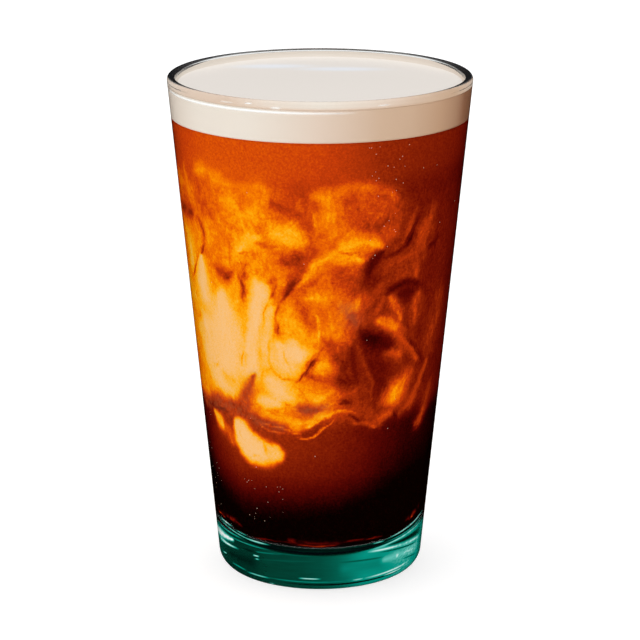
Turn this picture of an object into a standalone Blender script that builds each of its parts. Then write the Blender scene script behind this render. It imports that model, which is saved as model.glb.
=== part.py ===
"""Pint tumbler of nitro cold brew: a thick-bottomed glass, the coffee in it and the foam on top.

Everything is turned about the vertical axis. The origin is the centre of the foot, at table height.
"""

import math

import bmesh
import bpy

# Driving dimensions, in metres
HEIGHT = 0.1490  # table to the top of the lip
RIM_R = 0.0445  # outer radius of the straight cone at the top
FOOT_R = 0.0299  # the same cone carried down to the table
LIP_R = 0.00125  # fire-polished lip, a full round
HEEL_R = 0.0055  # rounding between the wall and the foot
WALL_AT_FLOOR = 0.0040  # the wall thickens downwards to this
FLOOR_Z = 0.0098  # lowest point of the inside, on the axis
FLOOR_DISH_R = 0.1800  # the floor is a shallow dish of this radius
CORNER_R = 0.0085  # rounding between the floor and the inner wall
PUNT_R = 0.0215  # hollow under the foot
PUNT_DEPTH = 0.0010
COFFEE_TOP = 0.1370
FOAM_TOP = 0.1472  # middle of the head
FOAM_DOME = 0.0004  # how much lower its edge is
FOAM_EDGE_R = 0.0008
CLEARANCE = 0.0003  # between neighbouring solids
SEGMENTS = 72

OUTER_SLOPE = math.atan2(RIM_R - FOOT_R, HEIGHT)
LIP_Z = HEIGHT - LIP_R
LIP_AXIS_R = FOOT_R + LIP_Z * math.tan(OUTER_SLOPE) - LIP_R / math.cos(OUTER_SLOPE)
INNER_FLOOR_R = FOOT_R + FLOOR_Z * math.tan(OUTER_SLOPE) - WALL_AT_FLOOR
INNER_SLOPE = math.atan2(LIP_AXIS_R - LIP_R - INNER_FLOOR_R, LIP_Z - FLOOR_Z)


def arc(centre_r, centre_z, radius, start, end, steps):
    """Points of a circular arc in the profile plane; angles in radians from the +r direction."""
    points = []
    for i in range(steps + 1):
        a = start + (end - start) * i / steps
        points.append((centre_r + radius * math.cos(a), centre_z + radius * math.sin(a)))
    return points


def inner_r(z, clearance=0.0):
    """Radius of the inner wall at height z, less a clearance measured square to the wall."""
    at_lip = LIP_AXIS_R - (LIP_R + clearance) / math.cos(INNER_SLOPE)
    return at_lip - (LIP_Z - z) * math.tan(INNER_SLOPE)


def inside_bottom(clearance=0.0):
    """Dished floor and rounded corner, from the axis out to the foot of the inner wall."""
    corner = CORNER_R - clearance
    dish = FLOOR_DISH_R - clearance
    dish_z = FLOOR_Z + FLOOR_DISH_R
    z = FLOOR_Z + CORNER_R
    for _ in range(30):
        r = inner_r(z, clearance) - corner / math.cos(INNER_SLOPE)
        z = dish_z - math.sqrt((dish - corner) ** 2 - r ** 2)
    lean = math.asin(r / (dish - corner))
    floor = arc(0.0, dish_z, dish, -math.pi / 2, -math.pi / 2 + lean, 3)
    rounding = arc(r, z, corner, -math.pi / 2 + lean, -INNER_SLOPE, 7)
    return floor + rounding[1:]


def turned(name, profile, colour, roughness, transmission, ior):
    """Spin a profile that starts and ends on the axis into one closed solid with its material."""
    bm = bmesh.new()
    verts = [bm.verts.new((r, 0.0, z)) for r, z in profile]
    edges = [bm.edges.new(pair) for pair in zip(verts, verts[1:])]
    bmesh.ops.spin(
        bm,
        geom=verts + edges,
        cent=(0.0, 0.0, 0.0),
        axis=(0.0, 0.0, 1.0),
        angle=2.0 * math.pi,
        steps=SEGMENTS,
        use_merge=True,
        use_duplicate=False,
    )
    bmesh.ops.remove_doubles(bm, verts=bm.verts, dist=0.000001)
    bmesh.ops.recalc_face_normals(bm, faces=bm.faces)
    mesh = bpy.data.meshes.new(name)
    bm.to_mesh(mesh)
    bm.free()
    mesh.shade_smooth()
    mesh.set_sharp_from_angle(angle=math.radians(35.0))

    material = bpy.data.materials.new(name)
    material.use_nodes = True
    shader = material.node_tree.nodes["Principled BSDF"]
    shader.inputs["Base Color"].default_value = (*colour, 1.0)
    shader.inputs["Metallic"].default_value = 0.0
    shader.inputs["Roughness"].default_value = roughness
    shader.inputs["Transmission Weight"].default_value = transmission
    shader.inputs["IOR"].default_value = ior
    mesh.materials.append(material)

    piece = bpy.data.objects.new(name, mesh)
    bpy.context.scene.collection.objects.link(piece)
    return piece


for old in list(bpy.data.objects):
    bpy.data.objects.remove(old, do_unlink=True)


# Glass: punt, flat foot ring, heel, straight wall, full round lip, inner wall, corner and floor
punt_sphere_r = (PUNT_R ** 2 + PUNT_DEPTH ** 2) / (2.0 * PUNT_DEPTH)
punt_angle = math.asin(PUNT_R / punt_sphere_r)
punt = arc(0.0, PUNT_DEPTH - punt_sphere_r, punt_sphere_r, math.pi / 2, math.pi / 2 - punt_angle, 4)
heel_axis_r = FOOT_R + HEEL_R * math.tan(OUTER_SLOPE) - HEEL_R / math.cos(OUTER_SLOPE)
heel = arc(heel_axis_r, HEEL_R, HEEL_R, -math.pi / 2, -OUTER_SLOPE, 7)
lip = arc(LIP_AXIS_R, LIP_Z, LIP_R, -OUTER_SLOPE, math.pi + INNER_SLOPE, 10)
glass = turned("glass", punt + heel + lip + inside_bottom()[::-1], (0.93, 0.97, 0.96), 0.02, 1.0, 1.52)

# Coffee: fills the inside up to the foam
coffee_side = [(inner_r(COFFEE_TOP, CLEARANCE), COFFEE_TOP), (0.0, COFFEE_TOP)]
coffee = turned("coffee", inside_bottom(CLEARANCE) + coffee_side, (0.17, 0.035, 0.006), 0.08, 0.0, 1.34)

# Foam: the head, a shallow dome that rounds over where it meets the wall
foam_foot_z = COFFEE_TOP + CLEARANCE
foam_foot = [(0.0, foam_foot_z), (inner_r(foam_foot_z, CLEARANCE), foam_foot_z)]
edge_z = FOAM_TOP - FOAM_DOME - FOAM_EDGE_R
edge_r = inner_r(edge_z, CLEARANCE) - FOAM_EDGE_R / math.cos(INNER_SLOPE)
dome_r = (edge_r ** 2 + FOAM_DOME ** 2) / (2.0 * FOAM_DOME)
dome_lean = math.asin(edge_r / dome_r)
foam_edge = arc(edge_r, edge_z, FOAM_EDGE_R, -INNER_SLOPE, math.pi / 2 - dome_lean, 4)
dome = arc(0.0, FOAM_TOP - dome_r, dome_r, math.pi / 2 - dome_lean, math.pi / 2, 3)
foam = turned("foam", foam_foot + foam_edge + dome[1:], (0.86, 0.79, 0.71), 0.45, 0.0, 1.34)
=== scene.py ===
"""Nitro cold brew: a pint tumbler of coffee with cream clouds falling through it, under a head of foam."""
import math

import bmesh
import bpy
import numpy as np
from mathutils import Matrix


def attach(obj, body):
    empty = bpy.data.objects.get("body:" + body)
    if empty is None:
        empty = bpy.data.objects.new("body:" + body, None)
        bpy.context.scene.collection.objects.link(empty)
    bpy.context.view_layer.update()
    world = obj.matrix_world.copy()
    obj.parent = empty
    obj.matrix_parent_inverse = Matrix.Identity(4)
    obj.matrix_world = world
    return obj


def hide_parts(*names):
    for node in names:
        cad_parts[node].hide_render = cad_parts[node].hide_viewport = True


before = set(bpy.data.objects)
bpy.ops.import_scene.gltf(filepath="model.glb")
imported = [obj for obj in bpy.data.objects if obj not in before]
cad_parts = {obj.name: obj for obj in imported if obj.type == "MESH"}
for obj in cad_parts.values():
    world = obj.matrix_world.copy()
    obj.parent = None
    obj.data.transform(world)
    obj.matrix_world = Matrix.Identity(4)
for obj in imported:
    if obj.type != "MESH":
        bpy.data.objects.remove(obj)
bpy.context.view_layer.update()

# --- The tumbler ----------------------------------------------------------------------------------
# Pressed soda-lime glass: a straight cone with a fire-polished lip, a thick bottom with a rounded heel,
# and a shallow hollow under the foot. It is nearly clear through the wall, and teal through the bottom,
# where light crosses 60 mm of it.
HEIGHT = 0.1490  # table to the top of the lip
RIM_R = 0.04449  # outer radius of the straight cone at the top
FOOT_R = 0.0299  # the same cone carried down to the table
LIP_R = 0.00125  # the lip is a full round
HEEL_R = 0.0055
WALL_AT_FLOOR = 0.0040
FLOOR_Z = 0.0098  # lowest point of the inside, on the axis
FLOOR_DISH_R = 0.1800
CORNER_R = 0.0085  # between the floor and the inner wall
PUNT_R = 0.0215  # hollow under the foot
PUNT_DEPTH = 0.0010
OUTER_SLOPE = math.atan2(RIM_R - FOOT_R, HEIGHT)
LIP_Z = HEIGHT - LIP_R
LIP_AXIS_R = FOOT_R + LIP_Z * math.tan(OUTER_SLOPE) - LIP_R / math.cos(OUTER_SLOPE)
INNER_FLOOR_R = FOOT_R + FLOOR_Z * math.tan(OUTER_SLOPE) - WALL_AT_FLOOR
INNER_SLOPE = math.atan2(LIP_AXIS_R - LIP_R - INNER_FLOOR_R, LIP_Z - FLOOR_Z)
GLASS_TURNS = 432
PUNT_STEPS = 8
FINE_UP_TO = 0.0205  # the light in the foot is painted up to here, so the rings are close together


def arc(centre_r, centre_z, radius, start, end, steps):
    """A circular arc as rows of (radius, height): its centre plus its radius times cosine and sine."""
    a = np.linspace(start, end, steps + 1)
    return np.stack((centre_r + radius * np.cos(a), centre_z + radius * np.sin(a)), axis=1)


def inner_r(z, into_wall=0.0):
    """Radius of the inner wall at height z, plus a distance measured square into the wall."""
    at_lip = LIP_AXIS_R - (LIP_R - into_wall) / math.cos(INNER_SLOPE)
    return at_lip - (LIP_Z - z) * math.tan(INNER_SLOPE)


def inside_bottom(into_wall=0.0, steps=10):
    """Floor dish and corner from the axis outwards, into_wall deep in the glass: two tangent arcs."""
    corner = CORNER_R + into_wall
    dish = FLOOR_DISH_R + into_wall
    dish_z = FLOOR_Z + FLOOR_DISH_R
    z = FLOOR_Z + CORNER_R
    for _ in range(30):
        r = inner_r(z, into_wall) - corner / math.cos(INNER_SLOPE)
        z = dish_z - math.sqrt((dish - corner) ** 2 - r ** 2)
    lean = math.asin(r / (dish - corner))
    floor = arc(0.0, dish_z, dish, -math.pi / 2, -math.pi / 2 + lean, steps)
    rounding = arc(r, z, corner, -math.pi / 2 + lean, -INNER_SLOPE, 2 * steps)
    return np.concatenate((floor, rounding[1:]))


def new_piece(name, points, faces):
    """An object at the origin whose smooth mesh has these points and faces."""
    mesh = bpy.data.meshes.new(name)
    mesh.from_pydata(points, [], faces)
    mesh.shade_smooth()
    piece = bpy.data.objects.new(name, mesh)
    bpy.context.scene.collection.objects.link(piece)
    return piece


def turned(name, profile, angles):
    """A surface of revolution: each profile point swept through the angles. Both ends are on the axis."""
    body = profile[1:-1]
    rings, turns = len(body), len(angles)
    co = np.empty((rings, turns, 3))
    co[..., 0] = body[:, :1] * np.sin(angles)
    co[..., 1] = -body[:, :1] * np.cos(angles)
    co[..., 2] = body[:, 1:]
    poles = np.array(((0.0, 0.0, profile[0, 1]), (0.0, 0.0, profile[-1, 1])))
    i = np.arange(turns)
    j = np.roll(i, -1)
    row = (np.arange(rings - 1) * turns)[:, None]
    quads = np.stack((row + i, row + j, row + turns + j, row + turns + i), axis=-1).reshape(-1, 4)
    last = (rings - 1) * turns
    bottom = np.stack((np.full(turns, rings * turns), j, i), axis=-1)
    top = np.stack((np.full(turns, rings * turns + 1), last + i, last + j), axis=-1)
    points = np.concatenate((co.reshape(-1, 3), poles))
    return new_piece(name, points.tolist(), quads.tolist() + bottom.tolist() + top.tolist())


def points_of(piece):
    """A piece's points in mm, their radius, and their bearing in degrees: 0 in front, 90 to the right."""
    co = np.empty(len(piece.data.vertices) * 3)
    piece.data.vertices.foreach_get("co", co)
    co = co.reshape(-1, 3) * 1000
    return co, np.hypot(co[:, 0], co[:, 1]), np.degrees(np.arctan2(co[:, 0], -co[:, 1]))


def to_front(bearing):
    """The bearing mirrored from the back half to the front half."""
    return np.where(bearing > 90, 180 - bearing, np.where(bearing < -90, -180 - bearing, bearing))


def paint(piece, **values):
    """Give the piece one float attribute a keyword, with a value for each point."""
    for name, value in values.items():
        layer = piece.data.attributes.new(name, "FLOAT", "POINT")
        layer.data.foreach_set("value", value.astype(np.float32))


def lattice_noise(x, y, z, seed):
    """Smooth gradient noise in three dimensions, about -1 to 1: each lattice corner has a random slope."""
    rng = np.random.default_rng(seed)
    order = rng.permutation(256)
    order = np.concatenate((order, order))
    slope = rng.normal(size=(256, 3))
    slope /= np.linalg.norm(slope, axis=1)[:, None]
    xi, yi, zi = (np.floor(v).astype(int) for v in (x, y, z))
    fx, fy, fz = x - xi, y - yi, z - zi
    sx, sy, sz = (f * f * f * (f * (f * 6 - 15) + 10) for f in (fx, fy, fz))
    total = np.zeros(np.shape(x))
    for i in (0, 1):
        for j in (0, 1):
            for k in (0, 1):
                h = order[(order[(order[(xi + i) & 255] + yi + j) & 255] + zi + k) & 255]
                dot = slope[h, 0] * (fx - i) + slope[h, 1] * (fy - j) + slope[h, 2] * (fz - k)
                w = (sx if i else 1 - sx) * (sy if j else 1 - sy) * (sz if k else 1 - sz)
                total += w * dot
    return total * 1.6


THIN = 1.3  # mm; a stroke with a smaller half width is a thin one
MM_A_DEGREE = 0.66  # round the wall, near the top of the drink
FAR = 9.0  # half widths; further off, a stroke covers nothing


def stroke(bearing, mm, r, path, soft):
    """Cover of one stroke (1 on its path, a half at its half width), and the mm along it and across it.

    A path's rows are (degrees, height in mm, half width in mm). The cover is exp(-0.7 d^k), with d in half
    widths and k larger for a harder edge. Softness may be a pair, for the left and the right of the path.
    A thin stroke fades out at its ends.
    """
    left, right = soft if isinstance(soft, tuple) else (soft, soft)
    thin = path[:, 2].max() < THIN
    mm_per_degree = np.pi / 180 * r
    best = np.full(bearing.shape, FAR)
    fade = np.ones(bearing.shape)
    power = np.full(bearing.shape, 2.0)
    along = np.zeros(bearing.shape)
    across = np.zeros(bearing.shape)
    steps = np.hypot((path[1:, 0] - path[:-1, 0]) * MM_A_DEGREE, path[1:, 1] - path[:-1, 1])
    whole = steps.sum()
    done = 0.0
    for (a0, h0, w0), (a1, h1, w1), step in zip(path, path[1:], steps):
        ex, ey = (a1 - a0) * mm_per_degree, h1 - h0
        px, py = (bearing - a0) * mm_per_degree, mm - h0
        length = np.hypot(ex, ey) + 1e-6
        t = np.clip((px * ex + py * ey) / length ** 2, 0, 1)
        w = w0 + (w1 - w0) * t
        d = np.hypot(px - t * ex, py - t * ey) / w
        turn = (ex * py - ey * px) / length
        nearer = d < best
        best = np.where(nearer, d, best)
        power = np.where(nearer, np.where(turn > 0, 0.8 + 0.8 / left, 0.8 + 0.8 / right), power)
        along = np.where(nearer, done + step * t, along)
        across = np.where(nearer, turn, across)
        if thin:
            share = np.clip((done + step * t) / whole, 0, 1)
            fade = np.where(nearer, 1 - np.abs(2 * share - 1) ** 3, fade)
        done += step
    return fade * np.exp(-0.7 * best ** power), along, across


def level_line(start, end, height, rise, half_wide):
    """A path round the glass from start to end, in degrees: its height is height + rise (1 - cos bearing).

    half_wide is in mm: one value, or several spread evenly from start to end.
    """
    turns = np.linspace(start, end, max(3, int(abs(end - start) / 9)))
    heights = height + rise * (1 - np.cos(np.radians(turns)))
    widths = np.atleast_1d(half_wide)
    wide = np.interp(turns, np.linspace(start, end, len(widths)), widths)
    return np.stack((turns, heights, wide), axis=1)


def new_material(name, settings):
    """A material with these inputs of its shader set: the material, its node tree and the shader."""
    material = bpy.data.materials.new(name)
    material.use_nodes = True
    shader = material.node_tree.nodes["Principled BSDF"]
    for socket, value in settings.items():
        shader.inputs[socket].default_value = value
    return material, material.node_tree, shader


def painted(tree, name):
    """The socket that reads a painted attribute."""
    node = tree.nodes.new("ShaderNodeAttribute")
    node.attribute_name = name
    return node.outputs["Fac"]


def calculate(tree, operation, *values, clamp=False):
    """The socket of one Math node; its values are sockets or plain numbers."""
    node = tree.nodes.new("ShaderNodeMath")
    node.operation = operation
    node.use_clamp = clamp
    for socket, value in zip(node.inputs, values):
        if isinstance(value, (int, float)):
            socket.default_value = value
        else:
            tree.links.new(value, socket)
    return node.outputs["Value"]


def ramp(tree, value, stops):
    """The socket of a colour ramp over a value; its stops are (position, linear red, green and blue)."""
    node = tree.nodes.new("ShaderNodeValToRGB")
    while len(node.color_ramp.elements) < len(stops):
        node.color_ramp.elements.new(0.5)
    for element, (position, rgb) in zip(node.color_ramp.elements, stops):
        element.position = position
        element.color = (*rgb, 1.0)
    tree.links.new(value, node.inputs["Fac"])
    return node.outputs["Color"]


def blend(tree, share, *colours):
    """The socket of a mix from one colour to another, each a socket or linear red, green and blue."""
    node = tree.nodes.new("ShaderNodeMix")
    node.data_type = "RGBA"
    tree.links.new(share, node.inputs["Factor"])
    for end, colour in zip("AB", colours):
        if isinstance(colour, tuple):
            node.inputs[end].default_value = (*colour, 1.0)
        else:
            tree.links.new(colour, node.inputs[end])
    return node.outputs["Result"]


punt_sphere_r = (PUNT_R ** 2 + PUNT_DEPTH ** 2) / (2 * PUNT_DEPTH)
punt_angle = math.asin(PUNT_R / punt_sphere_r)
punt_z = PUNT_DEPTH - punt_sphere_r
punt = arc(0.0, punt_z, punt_sphere_r, math.pi / 2, math.pi / 2 - punt_angle, PUNT_STEPS)
heel_axis_r = FOOT_R + HEEL_R * math.tan(OUTER_SLOPE) - HEEL_R / math.cos(OUTER_SLOPE)
heel = arc(heel_axis_r, HEEL_R, HEEL_R, -math.pi / 2, -OUTER_SLOPE, 40)
lip = arc(LIP_AXIS_R, LIP_Z, LIP_R, -OUTER_SLOPE, math.pi + INNER_SLOPE, 20)
# the outer wall's rings, as shares of its height: close in the foot and near the lip
fine_share = (FINE_UP_TO - HEEL_R) / (LIP_Z - HEEL_R)
wall_shares = np.concatenate((np.linspace(0, fine_share, 76)[1:], np.linspace(fine_share, 0.98, 9)[1:],
                              np.linspace(0.9825, 0.9925, 6), (0.997,)))
outer_wall = heel[-1] + (lip[0] - heel[-1]) * wall_shares[:, None]
floor_inwards = inside_bottom()[::-1]
inner_shares = np.append(0.006, np.linspace(0.03, 1, 12)[:-1])
inner_wall = lip[-1] + (floor_inwards[0] - lip[-1]) * inner_shares[:, None]
glass_profile = np.concatenate((punt, heel, outer_wall, lip, inner_wall, floor_inwards))
round_angles = np.linspace(0, 2 * math.pi, GLASS_TURNS, endpoint=False)
glass = turned("tumbler", glass_profile, round_angles)

# Painted light and shade in the thick bottom: bright bands and thin lines of light, and dark lines, which
# run level at the front and climb or sink towards the sides. They are painted in this order: (tone from 0
# black over teal to 1 white, softness, from, to in degrees, height at the front in mm, rise in mm, half
# width in mm).
FOOT_LINES = [
    # broad patches
    (0.12, 0.8, -60, -41, 7.4, 0, (0.8, 1.4)),
    (0.5, 0.8, 14, 36, 7.8, 0, (1.2, 1.8)),
    (0.74, 0.8, 38, 68, 8.6, 0, (0.9, 1.3)),
    (1.0, 0.6, -86, -56, 13.0, -1.4, (1.6, 1.3, 0.5)),
    (0.96, 0.5, -76, -50, 10.6, -1.0, (0.6, 0.4, 0.2)),
    # light and dark lines of the left side
    (0.66, 0.5, -78, -40, 13.7, 1.6, 0.25),
    (0.12, 0.5, -56, -33, 12.4, 1.8, 0.22),
    (0.72, 0.4, -60, -27, 12.6, 1.2, 0.14),
    (0.55, 0.4, -50, -20, 12.3, -5.2, 0.14),
    (0.06, 0.6, -48, -36, 11.4, -1.6, 0.28),
    (0.97, 0.4, -40, -35, 9.9, 0, 0.2),
    (0.9, 0.4, -38.5, -35.5, 8.9, 0, 0.15),
    (0.36, 0.5, -36, 0, 10.4, -7, 0.15),
    (0.48, 0.4, -30, 4, 12.1, 0.8, 0.12),
    # lines of the right side
    (0.34, 0.5, 10, 38, 10, -1.8, 0.2),
    (0.9, 0.5, 47, 49, 8.6, 0, 0.5),
    (0.7, 0.6, 29, 42, 12.4, 3.4, 0.3),
    (0.08, 0.5, 38, 74, 12.9, 0.2, (0.2, 0.9)),
    (0.95, 0.5, 26, 52, 12.5, -2.2, 0.28),
    (0.86, 0.5, 50, 74, 12.4, -2.2, (0.3, 0.45)),
    (0.22, 0.4, 34, 69, 12, -3.6, 0.16),
    (0.8, 0.5, 53, 65, 10.4, -4.2, 0.35),
    (0.35, 0.5, 53, 69, 8.4, -4, 0.15),
    (0.84, 0.35, 18, 76, 12.3, 5.2, 0.2),
    # the rounded heel
    (0.9, 0.4, -72, -65, 8.4, -3.4, 0.16),
    (0.6, 0.5, -60, -45, 3.2, 3, 0.26),
    (0.84, 0.4, -46, -29, 3.4, 1, 0.22),
    (0.6, 0.4, -32, 14, 3.7, 0, 0.15),
    (0.97, 0.35, -12.5, 1, 4.8, 3, 0.17),
    (0.88, 0.4, 18, 25, 3.7, 2, 0.15),
    (0.95, 0.45, 25, 61, 3.6, 2.9, 0.22),
    (0.0, 0.3, -26, 54, 2.7, 1.6, (0.1, 0.26, 0.26, 0.12)),
    (0.97, 0.4, 38, 53, 2.7, 2.8, 0.17),
    (0.97, 0.4, -31.5, -28, 1.4, 0, 0.17),
    (0.95, 0.4, 35, 44, 0.7, 0, 0.12),
    (0.58, 0.5, -42, 70, 0.6, 3, 0.25),
    # the black band under the drink, painted shade where its dark underside shows through the bottom, with
    # its grey and white lines of painted light
    (0.0, 0.3, -80, 78, 13.25, 5.1, (0.3, 0.5, 0.85, 0.95, 0.85, 0.4, 0.25)),
    (0.16, 0.35, -32, 28, 13.5, 2.6, 0.13),
    (0.95, 0.35, -70, -54, 15.6, 2.8, 0.2),
    (0.8, 0.35, -53, -42, 14.3, 4.8, 0.15),
    (0.95, 0.35, -44, -27, 14, 2.8, 0.18),
    (0.88, 0.35, -75, -30, 13.2, 5.4, 0.17),
    (0.88, 0.4, 29, 37.5, 14.4, 1.8, 0.16),
    (0.68, 0.35, 34, 76, 13.1, 5, 0.14),
    (0.0, 0.35, 41, 71, 13.6, 5.6, 0.16),
    (0.86, 0.35, 38, 75, 13.6, 7, 0.17),
]
# painted glints: white lines and dashes of light painted under the lip and on it: (from, to in degrees,
# height in mm, half width in mm)
LIP_GLINTS = (
    (-86, 14, 145.9, 0.24),
    (-39, -33, 147.5, 0.12),
    (-28, -25, 147.9, 0.14),
    (-18, -14, 147.3, 0.12),
    (21, 26, 147.5, 0.12),
)
LIP_FROM = 140  # mm; above this, the glass is painted with the glints
# only the top of the lip gets the painted dark reflection
DARK_REFLECTION_FROM = 147.2  # mm; only the top of the lip is dark
PAINT_FROM_R = 25  # mm; nearer the axis, the foot's underside and the floor stay clear
co, radius, around = points_of(glass)
height = co[:, 2]
line_r = np.maximum(radius, 20)  # mm; no line comes nearer the axis
front = to_front(around)

# gleam is a colour's place in the range from black over teal to white: the foot's teal with its painted
# light and shade, and white on the lip for its painted glints; veil is how much of it hides the glass
solid_turns = (-90, -75, -65, -50, -40, -30, -10, 0, 5, 10, 15, 20, 25, 40, 50, 60, 70, 90)
solid_tones = (0.35, 0.32, 0.22, 0.19, 0.22, 0.26, 0.28, 0.32, 0.36, 0.42, 0.46, 0.52, 0.57, 0.58, 0.62,
               0.62, 0.55, 0.4)
streaks = lattice_noise(co[:, 0] / 6, co[:, 1] / 6, height / 0.4, 31)
gleam = np.interp(front, solid_turns, solid_tones) + 0.02 * streaks
teal_turns = (-90, -75, -60, -40, -30, -15, 0, 15, 30, 40, 50, 60, 75, 90)
teal_heights = (15, 15, 14.6, 13.6, 13, 12.5, 12.2, 12.4, 13.2, 13.9, 14.6, 15.2, 15.4, 15.2)
veil = 0.9 * np.clip((np.interp(front, teal_turns, teal_heights) - height) / 0.3 + 0.5, 0, 1)
for tone, soft, start, end, at, rise, half_wide in FOOT_LINES:
    path = level_line(start, end, at, rise, half_wide)
    cover = stroke(front, height, line_r, path, soft)[0]
    gleam += (tone - gleam) * cover
    veil = np.maximum(veil, 0.95 * cover)
# painted sparkle: white flecks of light in the bright parts of the foot's sides
painted_sparkle = lattice_noise(co[:, 0] / 0.9, co[:, 1] / 0.9, height / 0.55, 33)
gleam += 0.22 * painted_sparkle * np.clip((gleam - 0.5) / 0.3, 0, 1) * np.clip((np.abs(front) - 40) / 15, 0, 1)
gleam = np.clip(gleam, 0, 1)
past_punt = np.arange(len(co)) >= PUNT_STEPS * GLASS_TURNS
in_foot = (height < FINE_UP_TO * 1000) & (radius > PAINT_FROM_R)
veil = np.where(past_punt & in_foot, veil, 0)

glint = np.zeros(len(co))
for start, end, at, half_wide in LIP_GLINTS:
    path = level_line(start, end, at, 0, half_wide)
    glint = np.maximum(glint, stroke(around, height, line_r, path, 0.3)[0])
glint = np.where((height > LIP_FROM) & (radius > LIP_AXIS_R * 1000), glint, 0)
# the lip is painted white wherever its painted glints show
gleam = np.where(height > LIP_FROM, 1.0, gleam)
veil = np.maximum(veil, 0.95 * glint)

# painted reflection: the lip's top is painted dark where it would mirror the studio's dark sides: on its
# inner side at the front, on its outer at the back
up_lip = np.degrees(np.arctan2(height - LIP_Z * 1000, radius - LIP_AXIS_R * 1000)) % 360
bearing = np.abs(around)
dark_from = np.interp(bearing, (0, 35, 60, 90, 180), (96, 94, 62, 25, 20))
dark_to = np.interp(bearing, (0, 25, 45, 90, 120, 150, 180), (122, 130, 190, 190, 155, 125, 110))
strong = np.interp(bearing, (0, 12, 30, 55, 140, 165, 180), (0.15, 0.35, 0.6, 1, 1, 0.7, 0.5))
smoke = strong * np.clip((up_lip - dark_from) / 16, 0, 1) * np.clip((dark_to - up_lip) / 16, 0, 1)
smoke = np.where(height > DARK_REFLECTION_FROM, 0.98 * smoke, 0)
veil = np.maximum(veil, 0.94 * smoke ** 1.5)
paint(glass, gleam=gleam, veil=veil, smoke=smoke)

# black, teals and white, in linear light: the foot's teal with its painted light and shade, and the lip's
# painted glints
TEALS = (
    (0.0, (0.001, 0.0015, 0.003)),
    (0.1, (0.0, 0.009, 0.006)),
    (0.25, (0.001, 0.042, 0.026)),
    (0.42, (0.001, 0.115, 0.078)),
    (0.6, (0.002, 0.33, 0.25)),
    (0.76, (0.13, 0.58, 0.5)),
    (0.88, (0.5, 0.83, 0.77)),
    (1.0, (0.97, 1.0, 1.0)),
)
CLEAR = (0.98, 1.0, 0.99)
# near black, for the lip's painted dark reflection
DARK_REFLECTION = (0.0, 0.0, 0.002)
glass_mat, tree, shader = new_material("soda_lime_glass", {"Roughness": 0.0, "IOR": 1.5})
veil_value = painted(tree, "veil")
teal = ramp(tree, painted(tree, "gleam"), TEALS)
tinted = blend(tree, calculate(tree, "MULTIPLY", veil_value, 5.0, clamp=True), CLEAR, teal)
tree.links.new(blend(tree, painted(tree, "smoke"), tinted, DARK_REFLECTION), shader.inputs["Base Color"])
tree.links.new(calculate(tree, "SUBTRACT", 1.0, veil_value), shader.inputs["Transmission Weight"])
glass.data.materials.append(glass_mat)
glass.visible_shadow = False
glass.visible_diffuse = False
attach(glass, "root")
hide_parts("glass")

# --- The coffee -----------------------------------------------------------------------------------
# Cold brew with cream falling through it, too dark to see far into: an opaque skin that carries the
# clouds near the wall. The skin reaches just into the glass, so that no air shows between the two.
COFFEE_TOP = 0.1370
INTO_WALL = 0.00012
CLOUDS_FROM = 0.038  # between these two heights, the skin's rings are close together
CLOUDS_TO = 0.127
MIDDLE_R = 33  # mm; about the wall's radius halfway down
FINEST = 0.8  # mm; strokes with a smaller half width fade out towards the back
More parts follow.
